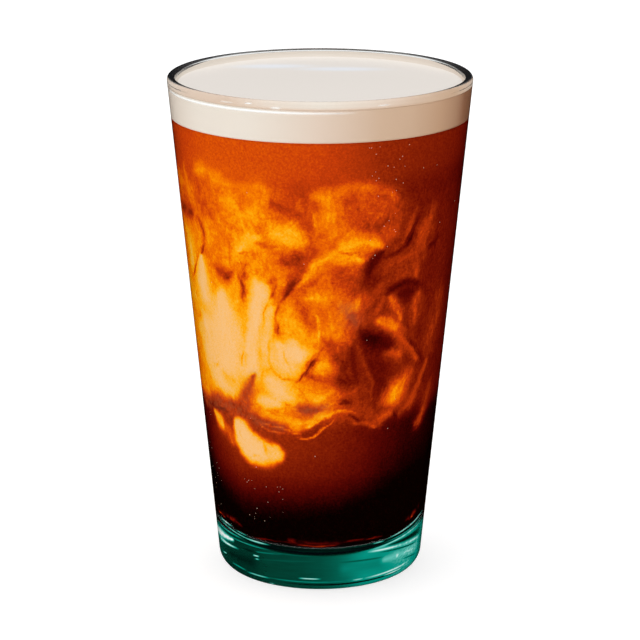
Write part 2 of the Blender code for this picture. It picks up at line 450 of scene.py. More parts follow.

# The clouds, laid over each other in this order: (tone from 0 cream over orange and red to 1 black coffee,
# softness from 0.15 for a hard edge to 1 for a soft one, or a pair for the left and the right of the path,
# and the path's points). A point is (degrees, height in mm, half width in mm). The tones carry painted
# shade
# too: the clouds of the right side, away from the light, are painted darker.
CLOUDS = [
    # upper left body
    (0.31, 0.9, (-82, 121, 3), (-66, 118, 5), (-52, 116, 7), (-40, 114, 8), (-30, 112, 8), (-23, 112, 6)),
    (0.25, 0.9, (-58, 104, 4), (-48, 102, 6), (-38, 102, 6), (-28, 102, 5)),
    (0.28, 0.4, (-59, 124.6, 1.7), (-55, 125.6, 2.4)),
    (0.36, 0.7, (-50.5, 122.4, 0.8), (-50, 119.4, 1)),
    (0.27, 0.4, (-49.4, 125.6, 1.4), (-46.6, 124, 2.3)),
    (0.25, 0.4, (-42.4, 121.6, 1.9), (-39, 120, 2.4)),
    (0.35, 0.7, (-43.5, 118.4, 0.6), (-41, 116.2, 0.8), (-41.5, 113, 0.6)),
    (0.28, 0.4, (-34.4, 122, 1.6), (-30.5, 121.4, 2.3), (-27, 121.2, 1.8)),
    (0.29, 0.5, (-45, 122.4, 1.4), (-39.5, 121.6, 1.8), (-35, 122.2, 1.8)),
    (0.41, 0.9, (-61, 121.5, 1.4), (-57, 118.5, 2), (-56, 114.5, 1.8), (-52, 112.5, 1.2)),
    (0.38, 0.8, (-49, 119.6, 0.8), (-46, 116.5, 1.1), (-46, 112.5, 0.9)),
    (0.3, 0.7, (-50.5, 109, 1.2), (-46, 108, 1.6), (-45, 104, 1.4)),
    (0.24, 0.6, (-43, 117.6, 1.8), (-38.5, 116.5, 2.8), (-33.5, 115.5, 3.4), (-28, 116, 2.8),
     (-25, 119, 2.4), (-25, 122, 1.4)),
    (0.36, 0.8, (-34, 122, 0.7), (-33, 118.6, 0.9), (-34.5, 114.8, 0.6)),
    (0.27, 0.9, (-26, 123, 2), (-23, 120, 2.5), (-21.5, 116, 2.5)),
    (0.2, 0.9, (-34, 114.5, 1.6), (-31, 110.5, 3), (-29, 107.5, 2.4)),
    (0.2, 0.7, (-41, 120.5, 0.8), (-38.8, 117.5, 1.1), (-38.5, 114.5, 0.8)),
    (0.15, 0.7, (-36, 105, 1.3), (-33, 107, 1.9), (-29.5, 108.4, 1.4)),
    (0.1, 0.6, (-37.5, 103, 0.7), (-36, 104.8, 1.1), (-32.5, 106.4, 0.9)),
    (0.37, 0.6, (-42, 109, 0.3), (-42, 104, 0.45), (-42.6, 98, 0.5)),
    (0.37, 0.9, (-31, 104, 0.8), (-27, 103.4, 1.2), (-24, 103, 0.8)),
    (0.34, 0.4, (-38.5, 103.2, 0.15), (-35, 103.4, 0.22), (-31, 103.8, 0.2)),
    (0.42, 0.5, (-37, 101.4, 0.2), (-35.8, 99.6, 0.3)),
    (0.5, 0.7, (-32.6, 101.5, 0.6), (-33.5, 98.5, 1), (-35.5, 96, 0.8), (-36.5, 94, 0.3)),
    # left limb
    (0.29, 0.6, (-71, 127, 0.7), (-69, 121, 1), (-68, 114, 0.8)),
    (0.4, 0.7, (-64, 124, 0.9), (-62.5, 118, 1.1), (-61.5, 113, 1)),
    (0.57, 0.9, (-80, 111.5, 1.6), (-73, 112, 2.6), (-67, 111.5, 1.8)),
    (0.19, 0.8, (-78, 106, 1.2), (-74.5, 103.5, 2.4), (-72, 99.5, 2.2), (-73, 95, 1.6)),
    (0.12, 0.8, (-74, 101, 1.4), (-74, 96, 1.4)),
    (0.34, 0.9, (-59, 105, 0.9), (-57, 101, 1.3), (-54, 98, 1.2)),
    (0.22, 0.9, (-60, 97, 1.2), (-58.5, 92.5, 1.6)),
    (0.45, 0.5, (-84, 109, 0.5), (-80, 104, 0.5)),
    # lower left ground and cream
    (0.17, 0.9, (-84, 90, 3), (-74, 84, 6), (-60, 78, 10), (-44, 74, 11), (-30, 72, 9), (-20, 71, 7),
     (-10, 69, 4)),
    (0.2, 0.8, (-41, 92, 1.8), (-39, 86, 1.6), (-37.6, 80, 0.9)),
    (0.03, 0.5, (-49.6, 88.6, 2.2), (-50, 84, 4.6), (-51, 78, 7), (-50.5, 71, 8), (-51.5, 65.5, 6),
     (-50.5, 61, 3.2)),
    (0.05, 0.9, (-64, 79, 1.6), (-63.5, 74, 3), (-62, 68, 3.6), (-57, 62.5, 2.5)),
    (0.04, 0.45, (-62.6, 99.6, 0.7), (-63.6, 96, 1.8), (-64.6, 91.4, 2.9), (-63, 87.5, 2.8)),
    (0.52, 0.6, (-63, 111.5, 0.9), (-59.5, 108.5, 0.8), (-57.5, 105.5, 0.6), (-59, 102.5, 0.5)),
    (0.64, 0.4, (-58.6, 103.4, 0.3), (-61, 101.2, 0.7), (-64, 99.6, 0.5)),
    (0.45, 0.4, (-63.4, 100, 0.5), (-67.5, 97.6, 0.4), (-72, 94, 0.35), (-75.5, 88, 0.2)),
    (0.25, 0.9, (-79, 82, 1.6), (-74, 80.5, 1.9), (-70.5, 79.8, 1.2)),
    (0.3, 0.5, (-76, 80.2, 0.3), (-71.5, 79.4, 0.4), (-68, 80.8, 0.25)),
    (0.46, 0.8, (-50.5, 96.6, 1.1), (-46.4, 96, 1.7), (-42, 97, 1.1)),
    (0.57, 0.7, (-47.6, 95.2, 0.7), (-44.8, 94.8, 1), (-42.4, 95.8, 0.7)),
    (0.2, 0.7, (-32.5, 97, 1), (-29.5, 96.5, 1.3), (-27, 94, 1)),
    (0.04, 0.35, (-28.8, 96.4, 1), (-27, 93.2, 3), (-28.2, 89.6, 3.2), (-29.9, 86, 2.5), (-31.8, 81, 2.1),
     (-33.4, 75, 2.4), (-34, 68.5, 2.6), (-35, 64, 1.6)),
    (0.42, 0.5, (-38.4, 97.6, 0.4), (-36.8, 94.6, 0.7), (-36, 91.2, 0.8), (-35, 88, 0.3)),
    (0.55, 0.4, (-36.9, 95.2, 0.25), (-36.2, 92.6, 0.4), (-35.4, 90.2, 0.3)),
    (0.5, 0.4, (-33.6, 98.2, 0.25), (-34.8, 95.6, 0.3), (-35.2, 93, 0.25)),
    (0.17, 0.7, (-37.2, 88, 0.9), (-37.7, 82, 0.7), (-38, 76, 0.5)),
    (0.2, 0.8, (-38.6, 74, 0.9), (-39.2, 71, 1.1), (-39.2, 68.5, 0.6)),
    (0.19, 0.6, (-27.2, 84.5, 0.5), (-28.4, 79, 0.7), (-29.3, 73, 0.9), (-29, 68, 0.6)),
    (0.17, 0.8, (-59.5, 67.2, 0.9), (-58, 66, 1.2)),
    (0.14, 0.9, (-53, 64.5, 1.4), (-48, 63, 1.6)),
    (0.22, 0.45, (-75, 76, 0.3), (-73.5, 71, 0.55), (-71, 67, 0.55), (-67, 62.8, 0.4), (-63, 60, 0.3)),
    (0.25, 0.4, (-69, 63, 0.2), (-64, 60, 0.3), (-58.5, 58.3, 0.25)),
    (0.32, 0.6, (-83, 69, 0.6), (-80, 65, 0.8), (-77.5, 61, 0.8)),
    # upper middle: gap, yellow blob, folds
    (0.49, 0.9, (-7.5, 114.5, 2), (-3.8, 110, 1.8), (-2.8, 105, 2)),
    (0.46, 0.9, (-19, 118.5, 1.4), (-14, 117.2, 2), (-9.5, 116.8, 2.2), (-6, 117.6, 1.6)),
    (0.4, 0.9, (-22, 114.8, 1), (-16, 115, 1.2), (-11, 114.6, 1)),
    (0.38, 0.7, (-11, 120, 0.5), (-8, 118.8, 0.7), (-5.5, 117.6, 0.4)),
    (0.23, 0.45, (-22, 110.2, 1.7), (-18, 110.6, 2.8), (-13.4, 110.2, 3.4), (-9.4, 109.3, 2.8)),
    (0.16, 0.5, (-18.4, 110, 1.7), (-13.4, 109.9, 2.7), (-9.4, 108.8, 2.2)),
    (0.15, 0.8, (-14, 107.8, 1), (-11, 107.4, 1.1)),
    (0.37, 0.7, (-29, 106.4, 0.8), (-24, 105.8, 1.2), (-18, 105.4, 1.2), (-13, 105.4, 0.8)),
    (0.44, 0.5, (-29.5, 107.2, 0.4), (-24, 106.7, 0.7), (-18, 106.9, 0.4)),
    (0.34, 0.8, (-27.6, 112.4, 0.9), (-26, 109.6, 1.1)),
    (0.22, 0.7, (-21.5, 105, 0.9), (-18, 106, 1), (-15.4, 105.3, 0.6)),
    (0.24, 0.8, (-24.5, 104, 1.3), (-24, 100.5, 2), (-26.5, 97.6, 1.6)),
    (0.26, 0.8, (-18.8, 100, 1), (-17.8, 97, 1.7), (-18, 93.5, 1.4)),
    (0.5, 0.8, (-16, 102, 1.4), (-10.5, 102.2, 2.2), (-6.5, 100.8, 2.2), (-7.5, 97.6, 1.6)),
    (0.57, 0.8, (-12.3, 104, 0.5), (-10, 104.1, 0.9), (-7.5, 103, 0.6)),
    (0.6, 0.7, (-5.8, 101, 0.6), (-4.6, 99.7, 1), (-6.6, 98.2, 0.7)),
    (0.5, 0.7, (-9, 99.5, 1), (-10.8, 97.2, 1.1), (-12.4, 95.2, 0.8)),
    # middle: plumes, gold billow, ridge
    (0.3, 0.8, (-19.5, 96, 1.4), (-19, 92, 1.3)),
    (0.42, 0.9, (-22.6, 97, 0.8), (-21, 95, 1.1)),
    (0.08, 0.45, (-22.2, 88, 0.8), (-23, 85, 1.5), (-25, 81.5, 1.6), (-26.4, 77, 1.7), (-25, 72, 2)),
    (0.46, 0.5, (-20.6, 98, 0.4), (-20, 95, 0.5), (-20.6, 92.8, 0.5), (-22.6, 90.5, 0.45)),
    (0.3, 0.5, (-22.4, 90.7, 0.4), (-24.3, 88, 0.35), (-25.4, 84.8, 0.3), (-27, 80.6, 0.25)),
    (0.3, 0.8, (-14, 89.5, 1.4), (-10, 89.5, 1.6)),
    (0.27, 0.8, (-17.5, 87, 1.5), (-13, 87.3, 1.6)),
    (0.19, 0.8, (-17, 84, 2.4), (-13.6, 83.4, 3.4), (-9.5, 82.4, 2.6)),
    (0.2, 0.9, (-8, 81, 2), (-5, 79, 3), (-3.5, 76, 2.4)),
    (0.26, 0.5, (-19, 81.2, 0.25), (-15, 80.4, 0.35), (-11, 80.9, 0.25)),
    (0.31, 1, (3, 92, 3), (5, 87, 4), (6, 82, 4), (5, 78, 3)),
    (0.33, 0.9, (2, 98, 2.5), (8, 98.5, 3.5), (12, 99, 3)),
    (0.22, 0.8, (3.5, 84, 1), (3.8, 80.5, 0.9), (2.6, 78, 0.6)),
    (0.38, 0.8, (-7.5, 94, 1.3), (-3, 95, 1.6), (1, 95.6, 1.2)),
    (0.22, 0.8, (-5.5, 91.3, 1.2), (-1.5, 91.4, 1.6), (2, 90.8, 1.1)),
    (0.4, 0.7, (-9.4, 90, 0.9), (-8, 87.2, 1), (-5.6, 84.8, 1.3), (-3, 83, 1.2)),
    (0.26, 0.4, (-9, 91.2, 0.2), (-9.6, 88.4, 0.25)),
    (0.2, 0.6, (11, 105.4, 1.3), (6, 104.8, 1.4), (2, 103.2, 1.5), (-2.4, 101, 1.5), (-4.4, 98.8, 1.2),
     (-8, 96.6, 0.9), (-10, 94.6, 0.4)),
    (0.45, 0.5, (3, 99.2, 0.3), (-1, 97.2, 0.45), (-5.8, 95.4, 0.4), (-8.4, 94.2, 0.3),
     (-10.5, 92.5, 0.3)),
    (0.34, 0.4, (-1.5, 99.6, 0.2), (1, 101.4, 0.3), (3.8, 102.8, 0.2)),
    (0.34, 0.4, (1, 99.6, 0.2), (6, 101.6, 0.3), (9.5, 102.2, 0.2)),
    (0.44, 0.8, (-9, 98.8, 1.3), (-12, 96, 1.5), (-15, 93.4, 1.1)),
    (0.62, (0.3, 0.7), (-7.4, 99, 0.5), (-10.4, 96.4, 0.75), (-13.2, 93.7, 0.7), (-15.8, 91.2, 0.4),
     (-18, 90, 0.2)),
    (0.42, 0.5, (-17.4, 90.6, 0.3), (-19, 88, 0.35), (-20, 85.6, 0.35), (-20.2, 83.4, 0.4)),
    (0.54, 0.6, (-20.2, 84, 0.4), (-20.3, 81.9, 0.7), (-20, 79.8, 0.4)),
    (0.24, 0.5, (-20.3, 80, 0.4), (-21.3, 78, 0.35), (-22.4, 76.6, 0.25)),
    (0.13, 0.4, (-4, 87.2, 0.2), (-1.4, 85.2, 0.35), (-0.2, 82, 0.4), (-0.1, 78.5, 0.4),
     (-1, 75.6, 0.25)),
    # cream lobes and the crevice
    (0.06, 0.5, (-20, 76.5, 1.6), (-17, 73.5, 3), (-15.5, 70.5, 2.6)),
    (0.1, 0.6, (-17, 78, 0.9), (-13, 78.6, 1), (-9, 78.2, 0.8)),
    (0.02, 0.45, (-12, 75.4, 2.6), (-9.8, 74.6, 2.8)),
    (0.16, 0.4, (-18, 75.6, 0.2), (-16.4, 72.4, 0.25), (-13.6, 70.2, 0.2)),
    (0.05, 0.4, (-25, 65.6, 1.6), (-21, 63.6, 3.4), (-16, 62, 3.8), (-12.5, 61.4, 2.6)),
    (0.27, 0.4, (-25.6, 71.8, 0.2), (-22, 69, 0.3), (-17.6, 67, 0.3), (-12.6, 66.2, 0.35),
     (-10, 66.6, 0.25)),
    (0.24, 0.7, (-12, 64.6, 0.7), (-8.6, 65.2, 0.8)),
    (0.27, 0.4, (-30.6, 64, 0.2), (-27.6, 61.6, 0.35), (-23, 59.8, 0.4), (-17, 58.2, 0.4),
     (-10.5, 57.6, 0.3)),
    (0.2, 0.4, (-29.6, 63, 0.2), (-29, 66.6, 0.3), (-26, 69.6, 0.25)),
    (0.21, 0.35, (-23.4, 79, 0.2), (-25, 75.4, 0.4), (-24.4, 71.6, 0.4), (-21, 68.6, 0.3)),
    (0.15, 0.4, (-16.5, 77.4, 0.15), (-12, 78, 0.2), (-8, 76, 0.22), (-8.6, 72.4, 0.2),
     (-12.4, 70.8, 0.15)),
    (0.2, 0.5, (-9.6, 62.6, 0.4), (-13.4, 59.6, 0.55), (-20, 58.2, 0.3)),
    (0.52, 0.8, (4.5, 77.4, 1.6), (8.5, 76, 2.2), (12, 74, 2)),
    (0.34, 0.5, (8.4, 77.4, 0.3), (8.4, 75, 0.35)),
    (0.49, 0.9, (-4.5, 67.2, 1.2), (2, 67.2, 1.8), (9, 67.4, 1.8)),
    (0.3, 0.8, (0, 71, 2.2), (2, 71.2, 2.4)),
    (0.18, 0.7, (-0.8, 70.8, 1.3), (1, 71, 1.9), (3.2, 71.4, 1.4)),
    (0.5, 0.6, (0, 75.8, 0.4), (-1.6, 73.8, 0.7), (-4, 71.4, 1), (-6.6, 68.8, 0.9), (-10, 66.2, 0.5),
     (-12, 64.8, 0.2)),
    (0.76, 0.4, (-1.8, 74, 0.2), (-3.8, 71.8, 0.42), (-5.6, 69.6, 0.45), (-8.6, 67.4, 0.25),
     (-11, 65.6, 0.2)),
    (0.45, 0.4, (2, 77.4, 0.2), (0.6, 75.8, 0.3), (-0.6, 74.8, 0.2)),
    # lower middle
    (0.27, 0.9, (-9, 62.5, 2.2), (-2, 61.8, 2.8), (5, 62, 1.8)),
    (0.2, 0.7, (-9.5, 62, 1.2), (-4, 61.4, 1.6), (1, 61.2, 1.2)),
    (0.34, 0.4, (-9.5, 64, 0.2), (-7, 60.6, 0.3), (-3, 59.2, 0.25)),
    (0.34, 0.6, (5, 61.3, 0.4), (11, 62.2, 0.5), (16, 63, 0.5), (20, 64.6, 0.3)),
    (0.68, 0.7, (8.6, 59.4, 0.5), (12, 60, 0.9), (16.5, 59.4, 0.9)),
    (0.5, 0.8, (-9.5, 57.4, 1), (-5.5, 57.2, 1.4), (-1.5, 57, 0.9)),
    (0.2, 0.4, (-0.5, 57.6, 0.2), (3, 58.2, 0.3), (6.4, 59.3, 0.35), (8.8, 60.1, 0.2)),
    # right upper billow
    (0.42, 0.7, (4, 118, 3), (11, 119, 4.4), (19, 119, 5), (26, 117, 5), (30, 113, 4)),
    (0.36, 0.9, (3, 120, 2), (6, 116, 3.5), (8, 112, 3)),
    (0.33, 0.6, (6, 122, 1.6), (10, 123, 1.8)),
    (0.35, 0.6, (14.5, 123.6, 1.6), (19, 124, 1.6), (23.5, 123.2, 1.5)),
    (0.28, 0.6, (-1.5, 121.6, 1.4), (1.5, 121.4, 2), (3.5, 118.5, 2.2), (3, 114.5, 2.2), (5.5, 112, 1.8)),
    (0.47, 0.55, (24, 119, 3), (29.5, 117.6, 3.4), (31.5, 113, 3.2), (29.5, 109.5, 2.4)),
    (0.42, 0.5, (23, 122.4, 1.4), (28, 121.9, 1.6), (31.6, 119.4, 1.5)),
    (0.58, 0.8, (20.5, 112, 0.9), (23, 111.2, 1.3), (26.5, 111.8, 1), (29, 114, 0.6)),
    (0.35, 0.9, (0, 108, 2), (6, 108.5, 2.2)),
    (0.27, 0.4, (-4, 118.4, 0.2), (-2.2, 115, 0.3), (-1, 111.8, 0.3), (-1.8, 108.8, 0.2)),
    (0.22, 0.8, (9.5, 107, 1.4), (14.5, 107.6, 2.6), (21, 107.4, 2.4), (26, 106.2, 1.2)),
    (0.18, 0.8, (13, 107.4, 1.2), (17, 107.6, 1.6)),
    (0.2, 0.8, (8, 103.6, 1.8), (14, 103.2, 1.8), (18, 102.6, 1)),
    (0.42, 0.4, (7, 105.4, 0.2), (12, 104.6, 0.3), (16.5, 104.4, 0.3), (19, 102.9, 0.3),
     (21, 101.8, 0.2)),
    # right: folds and ridges in the painted shade of the right side
    (0.5, 0.9, (11, 98, 2.5), (16, 96.5, 2.5), (18, 93, 2)),
    (0.52, 0.9, (43, 102, 1.8), (36, 100.5, 2.2), (30, 99.4, 1.4)),
    (0.54, 0.9, (42, 97.6, 2.2), (35, 96.2, 2.6), (28, 95, 1.8)),
    (0.54, 0.6, (54.5, 114, 2), (51.5, 109.5, 2.9), (48.5, 104, 2.6), (47, 99, 1.6), (47.5, 94, 0.7)),
    (0.5, 0.7, (50, 111, 1), (48, 107, 1.4), (46.5, 103, 1)),
    (0.5, 0.6, (31, 105.2, 0.4), (37, 106.2, 0.6), (40.3, 109.5, 0.9), (42, 113.5, 1),
     (44.5, 117.2, 0.8)),
    (0.82, 0.45, (26.5, 102.4, 0.5), (33, 103, 0.6), (38.2, 104.6, 0.7), (41.6, 107.2, 0.95),
     (43.3, 110.4, 0.9), (45, 115, 0.5)),
    (0.78, 0.55, (28, 104.4, 0.5), (24.4, 102.6, 1.2), (21.5, 99.8, 1.5), (21, 97, 1)),
    (0.78, 0.6, (61.5, 105.8, 0.6), (57, 103.6, 0.9), (52, 103, 0.6)),
    (0.68, 0.9, (19, 96.4, 1.2), (22.5, 95.4, 1.9), (26, 96, 1.2)),
    (0.5, 0.8, (29, 94.6, 0.8), (23, 90.8, 1.4), (17.5, 87.6, 1.4)),
    (0.78, 0.8, (38, 91, 1.2), (45, 90.5, 1.6), (51, 91, 1.6)),
    (0.79, 0.6, (30, 91, 0.4), (33.5, 92.6, 0.8), (38.5, 93.6, 1.1), (43.5, 94, 1.3), (48, 92.6, 1)),
    (0.47, 0.6, (31, 93, 0.5), (28.6, 89.4, 0.9), (25.8, 86.4, 0.9), (22.6, 84.8, 0.5)),
    (0.37, 0.6, (33, 90.4, 0.8), (35.6, 87.6, 1.6), (38, 85, 1.3), (39.6, 82.8, 0.5)),
    (0.49, 0.8, (49.5, 89.4, 1.6), (48, 85.5, 2.2), (48, 81.6, 1.4)),
    (0.56, 0.9, (68, 87, 2.2), (65, 80, 3.2), (62, 73, 2.6)),
    (0.46, 0.8, (26, 84.2, 1.2), (32, 82.4, 2.2), (38, 79.4, 1.8)),
    (0.72, 0.9, (20.5, 79, 1.8), (25, 76, 3.2), (29, 70, 3), (30, 64, 2.2)),
    (0.83, 0.7, (18.5, 81.4, 1.2), (22.5, 79, 2.3), (28.5, 77, 2.7), (34.4, 75.8, 1.8)),
    (0.46, 0.55, (33, 82, 1.4), (38.5, 79.2, 1.9), (44, 75.9, 2), (48.6, 72.6, 1.7), (51.4, 69.8, 0.9)),
    (0.4, 0.5, (35, 80.4, 0.5), (39, 78, 0.7), (44, 75, 0.7), (48, 72, 0.5)),
    (0.29, 0.55, (28, 84, 0.9), (32.4, 82.4, 1.7), (36.6, 80.6, 1.1)),
    (0.64, 0.7, (41, 70.6, 0.6), (44.5, 69, 0.9), (48.5, 67.6, 0.7)),
    (0.78, 0.5, (41.5, 79, 0.4), (46.5, 75.8, 0.6), (51, 73, 0.6), (54.5, 70.2, 0.6), (56.5, 68.4, 0.6),
     (59, 68.4, 0.4)),
    (0.5, 0.9, (33.5, 73, 1.4), (38, 72.4, 2.4)),
    (0.4, 0.7, (36.4, 73.2, 0.9), (38.6, 72.4, 1.4)),
    (0.25, 0.8, (17, 90, 1), (14.5, 87.6, 1.8), (10, 85, 2.4), (8, 81, 2.2)),
    (0.2, 0.8, (16, 88, 0.8), (12.5, 86.6, 1)),
    (0.5, 0.9, (14, 86, 1.4), (17, 84, 2.2), (15, 81.6, 1.6)),
    (0.6, 0.9, (9, 73, 1.8), (12, 70, 2.6), (12.5, 66, 2.4)),
    (0.68, 0.9, (9, 66, 0.9), (12.5, 65.4, 1.4)),
    (0.74, 0.8, (27.5, 73, 2.2), (31, 67, 2.6), (31.5, 61, 2)),
    (0.68, 0.8, (15.5, 76, 1), (16, 71, 1.6), (18.5, 66, 1.4)),
    (0.6, 0.7, (20, 66, 0.8), (20.5, 60, 0.9), (21, 56, 0.7)),
    (0.53, 0.5, (17, 79.4, 0.5), (18.4, 74.6, 0.6), (21.6, 70.4, 0.6), (25, 66, 0.5), (26, 61.5, 0.4)),
    (0.52, 0.5, (25.8, 66, 0.3), (25.8, 61.5, 0.35), (26.6, 57, 0.3)),
    (0.47, 0.7, (47.4, 66.2, 1.8), (44, 63.6, 3.1), (40, 60.4, 3.7), (37.2, 57.8, 2.4)),
    (0.35, 0.6, (44, 63.6, 1.8), (41, 61.2, 3), (38, 58.8, 2.4)),
    (0.25, 0.7, (41, 61.4, 1.6), (38.4, 59.2, 1.9)),
    (0.5, 0.6, (61, 68.4, 0.7), (58.6, 64.6, 1), (55, 60, 1.1), (50.5, 56.6, 1.5), (45.5, 54.6, 1.3)),
    (0.56, 0.8, (67, 59, 1.6), (64, 54, 2), (60, 50, 1.6)),
    (0.5, 0.6, (65, 54, 0.7), (61.5, 51, 1), (57.5, 49.2, 0.9)),
    (0.45, 0.7, (55, 48.6, 0.7), (58.5, 48.4, 1.3), (62, 50, 0.9)),
    (0.52, 0.5, (52.5, 58.4, 0.4), (47.5, 55, 0.5), (42, 52.9, 0.4)),
    (0.56, 0.8, (20, 56, 1.6), (27, 54.6, 1.8), (34, 55, 1.5)),
    (0.45, 0.5, (17, 53, 0.5), (23.5, 52.4, 0.7), (29, 52, 1.2), (33.5, 53.6, 1.4), (37.6, 55, 0.8)),
    (0.36, 0.5, (26.5, 51.4, 0.3), (29.5, 50.8, 0.45)),
    (0.74, 0.5, (14.5, 56.2, 0.3), (18.6, 54.5, 0.6), (20.8, 53.2, 0.5)),
    (0.8, 0.5, (39.4, 54.4, 0.3), (40.6, 53.4, 0.35), (41.4, 52.4, 0.25)),
    # foot of the cloud: small cream lobe, yellow band, brown grainy band, strands
    (0.22, 0.8, (-29, 55, 1.4), (-23, 54.2, 2), (-16, 53.6, 2), (-9, 53.4, 1.4), (-2, 54.4, 0.9),
     (5, 56.4, 0.7)),
    (0.07, 0.4, (-30, 59.4, 1.4), (-26, 59, 1.9), (-22, 58.8, 1.6)),
    (0.27, 0.4, (-33.2, 60.2, 0.2), (-31.6, 57.6, 0.3), (-27.5, 56.6, 0.35), (-21.5, 56.9, 0.3),
     (-13.5, 57.8, 0.2)),
    (0.53, 0.8, (-77, 52.6, 1), (-68, 54.4, 1.5), (-59.5, 55.2, 1.8), (-50, 55.8, 1.9), (-43, 56, 1.9),
     (-39, 58, 1.6)),
    (0.47, 0.8, (-41, 57.4, 1.5), (-38.2, 60, 1.7), (-35.6, 63.4, 1.2), (-33.8, 66.4, 0.7)),
    (0.53, 0.8, (-42, 55, 1.6), (-38, 53.6, 1.8), (-31.5, 52.4, 1.4), (-25, 51.6, 1), (-18, 50.9, 0.6)),
    (0.72, 0.7, (-76, 52.6, 0.6), (-67, 53, 1.2), (-58.5, 53.2, 1.2), (-51, 54, 0.8)),
    (0.16, 0.4, (-19, 54.2, 0.4), (-12, 51.6, 0.8), (-5, 52.6, 0.6), (2, 54.7, 0.45), (7, 56.5, 0.35),
     (12.5, 57.3, 0.3), (18.5, 56.4, 0.2)),
    (0.24, 0.4, (-31, 51.8, 0.2), (-26, 51.4, 0.25), (-20, 51, 0.28), (-14.5, 50.6, 0.3), (-9, 50, 0.3)),
    (0.24, 0.4, (-13, 49.2, 0.2), (-6, 48.8, 0.3), (0.5, 50.8, 0.3), (4.6, 52.9, 0.28), (8.2, 55.2, 0.2)),
    (0.3, 0.4, (-35, 53.4, 0.2), (-29, 50.4, 0.25), (-22, 49.8, 0.25), (-16, 49, 0.2)),
    # the falling drop
    (0.39, 0.7, (-54, 48.4, 1), (-52.8, 46.2, 1.7), (-51.6, 44, 1)),
    (0.36, 0.5, (-66.8, 52, 0.8), (-63.4, 50.4, 1.7), (-60, 48.8, 2.1), (-57.4, 47.4, 1.4)),
    (0.15, 0.35, (-66.5, 51.8, 0.5), (-63.5, 50.4, 1.3), (-60.6, 49, 1.6), (-58.4, 48, 1)),
    (0.32, 0.2, (-46.2, 51, 1.7), (-43.6, 48.6, 3), (-40.6, 45.2, 4.1), (-35.4, 43.2, 4.6),
     (-29.8, 42.8, 4.1), (-25, 43.3, 3)),
    (0.17, 0.15, (-46.2, 51, 1.5), (-43.6, 48.6, 2.8), (-40.6, 45.2, 3.9), (-35.4, 43.2, 4.4),
     (-29.8, 42.8, 3.9), (-25.2, 43.3, 2.8)),
    (0.03, 0.2, (-46.2, 50.6, 1.1), (-43.8, 48.2, 2.4), (-41, 45.2, 3.4), (-36.4, 43.3, 3.9),
     (-33, 43, 3.3)),
    (0.09, 0.4, (-27, 45, 1), (-24.4, 43.6, 1.7), (-25.6, 41.8, 1.2)),
    (0.16, 0.4, (-38.5, 41.2, 0.2), (-35.5, 41, 0.45), (-32.6, 41.8, 0.2)),
    (0.2, 0.5, (-31, 47, 0.3), (-29.3, 44.6, 0.5), (-29, 42, 0.4)),
    (0.12, 0.7, (-35.5, 40.9, 0.5), (-32, 40.6, 0.6)),
    (0.17, 0.4, (-45, 48.4, 0.2), (-43.8, 46.2, 0.25)),
    # painted light: a glow caught at the edge of the coffee's underside, painted as orange and red lines
    (0.76, 0.6, (-22, 15.2, 0.3), (-12, 15.2, 0.7), (0, 14.9, 0.9), (10, 15.1, 0.7), (16, 15.4, 0.3)),
    (0.72, 0.6, (-20, 15.6, 0.6), (-17, 15.8, 0.7), (-14, 15.6, 0.4)),
    (0.5, 0.3, (-15, 14.5, 0.14), (-9, 14.4, 0.2), (0, 14.3, 0.22), (7, 14.5, 0.18), (12, 14.7, 0.12)),
    (0.56, 0.4, (-44, 14.8, 0.15), (-39, 14.9, 0.22), (-33, 15, 0.2), (-26, 15, 0.15), (-18, 15.2, 0.12)),
    (0.62, 0.4, (13, 15.6, 0.15), (20, 15.7, 0.25), (27, 15.6, 0.25), (33, 15.6, 0.2)),
    (0.5, 0.35, (29, 15.5, 0.15), (34, 15.6, 0.25), (40, 15.6, 0.2)),
    (0.42, 0.4, (-82, 19.4, 0.3), (-74, 18.9, 0.3), (-66, 18.4, 0.25)),
    (0.34, 0.4, (-80, 18.5, 0.2), (-72, 18, 0.2), (-66, 17.5, 0.2)),
    (0.55, 0.4, (-70, 19.3, 0.3), (-62, 18.4, 0.35), (-57, 17.7, 0.2)),
    (0.66, 0.5, (-62, 18.8, 0.4), (-55, 17.9, 0.4), (-50, 17.2, 0.25)),
    (0.62, 0.45, (56, 18, 0.25), (62, 19, 0.35), (68, 20, 0.4), (74, 21, 0.3)),
    (0.48, 0.4, (60, 18, 0.15), (65, 18.6, 0.25), (70, 19.4, 0.25)),
]
# thin brown haze where fine threads of cream have broken up, as paths like the clouds' own
HAZE = [
    [(-78, 53.5, 1.2), (-60, 55, 2.0), (-45, 55.5, 2.0), (-39, 59, 1.9), (-35.4, 64, 1.2),
     (-33, 67.4, 0.7)],
    [(-42, 54, 1.4), (-30, 52, 1.5), (-20, 51, 0.8)],
    [(-10, 57.2, 1.0), (-4, 57, 1.5), (2, 58, 1.0)],
    [(11, 88.5, 1.2), (14, 86, 2.0), (16.5, 83.4, 1.0)],
]


def smooth_path(path):
    """The path's points joined by a Catmull-Rom curve: a cubic between each two, cut into four steps."""
    p = np.array(path, dtype=float)
    p = np.concatenate((2 * p[:1] - p[1:2], p, 2 * p[-1:] - p[-2:-1]))
    out = [p[1]]
    for a, b, c, d in zip(p, p[1:], p[2:], p[3:]):
        bend = 2 * a - 5 * b + 4 * c - d
        twist = 3 * b - a - 3 * c + d
        for t in (0.25, 0.5, 0.75, 1.0):
            out.append(0.5 * (2 * b + (c - a) * t + bend * t ** 2 + twist * t ** 3))
    out = np.array(out)
    out[:, 2] = np.maximum(out[:, 2], 0.15)
    return out


def smooth_step(value, start, end):
    """A smooth rise from 0 at start to 1 at end: 3 t^2 - 2 t^3."""
    t = np.clip((value - start) / (end - start), 0, 1)
    return t * t * (3 - 2 * t)


